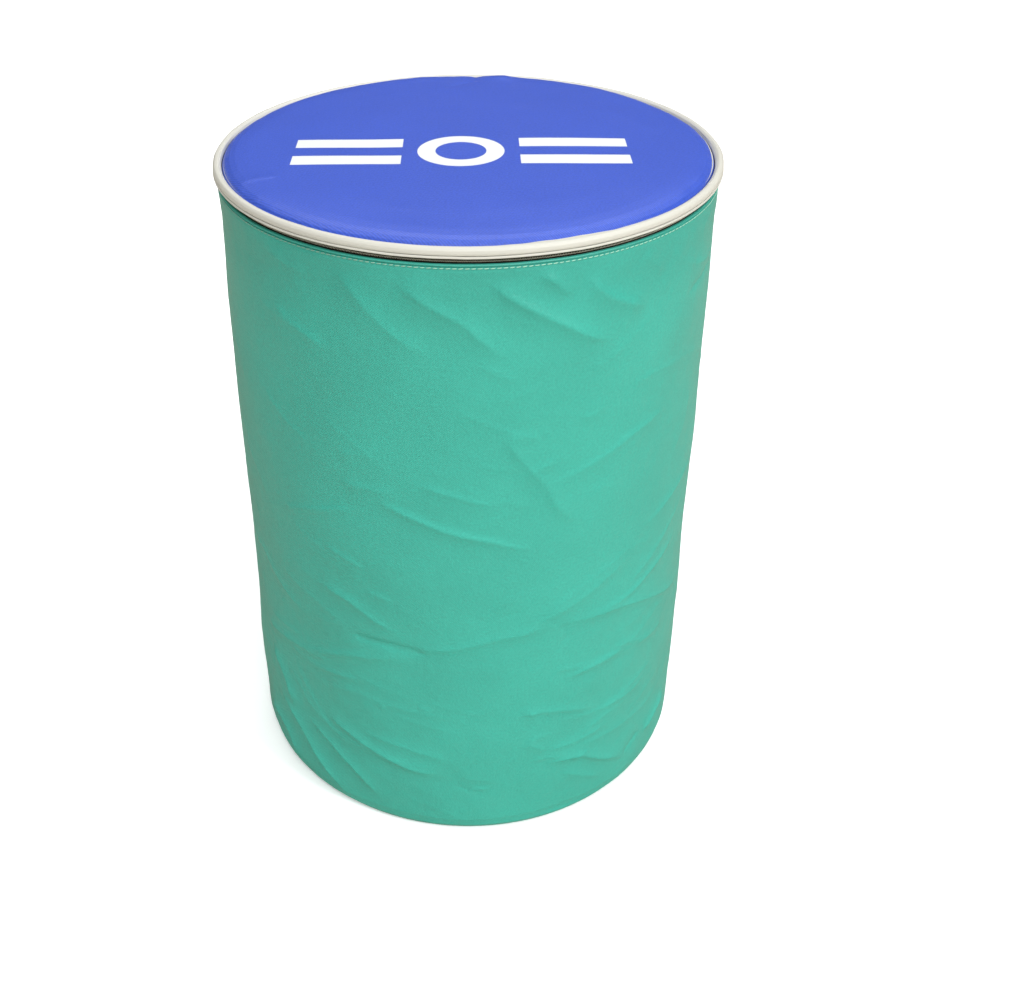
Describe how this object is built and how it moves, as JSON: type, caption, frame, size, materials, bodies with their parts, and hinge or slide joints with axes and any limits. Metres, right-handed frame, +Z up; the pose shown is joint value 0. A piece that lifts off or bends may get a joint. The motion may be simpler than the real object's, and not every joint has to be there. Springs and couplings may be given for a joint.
{
  "type": "pommel trainer drum",
  "caption": "Padded vinyl-covered round drum for practising pommel circles, with a blue top that opens as a zipped flap and a green side sleeve.",
  "frame": {"origin": "centre of the underside, on the floor", "axes": "+Z up along the drum, -Y the front from which the picture looks, +X to its right"},
  "size_m": [0.66, 0.66, 0.932],
  "materials": {
    "blue_vinyl": "satin",
    "green_vinyl": "satin",
    "white_vinyl": "satin",
    "foam": "matt",
    "plywood": "matt",
    "drum_paint": "gloss",
    "zinc_steel": "satin",
    "slider_metal": "satin",
    "coil": "satin",
    "tape": "matt",
    "rubber": "matt",
    "base_vinyl": "matt",
    "cord": "matt"
  },
  "bodies": {
    "drum": {"zip_tape_lower": "tape", "zip_coil_lower": "coil", "zip_stop_lower_right": "slider_metal", "zip_stop_lower_left": "slider_metal", "side_sleeve": "green_vinyl", "rear_seam_strip": "green_vinyl", "hinge_strip": "white_vinyl", "base_panel": "base_vinyl", "base_board": "plywood", "top_foam_pad": "foam", "side_foam_wrap": "foam", "drum_shell": "drum_paint", "drum_bottom": "drum_paint", "drum_lid": "drum_paint", "lid_gasket": "rubber", "clamp_ring": "zinc_steel", "clamp_lug_right": "zinc_steel", "clamp_lug_left": "zinc_steel", "clamp_bolt": "zinc_steel", "clamp_nut": "zinc_steel", "top_board": "plywood"},
    "lid": {"top_panel": "blue_vinyl", "edge_piping": "white_vinyl", "piping_cord": "cord", "zip_guard_strip": "white_vinyl", "zip_tape_upper": "tape", "zip_coil_upper": "coil", "zip_stop_upper_right": "slider_metal", "zip_stop_upper_left": "slider_metal"},
    "slider": {"zip_slider": "slider_metal"},
    "tab": {"pull_tab": "slider_metal"}
  },
  "joints": [
    {"name": "lid_open", "type": "hinge", "parent": "drum", "child": "lid", "pos_m": [0, 0.331, 0.9114], "axis": [-1, 0, 0], "range_deg": [0, 120]},
    {"name": "zip_travel", "type": "hinge", "parent": "drum", "child": "slider", "pos_m": [0, 0, 0.9074], "axis": [0, 0, 1], "range_deg": [-336.6, 0]},
    {"name": "tab_swing", "type": "hinge", "parent": "slider", "child": "tab", "pos_m": [0.06602, 0.31879, 0.9074], "axis": [0, 0, 1], "range_deg": [0, 170]}
  ]
}
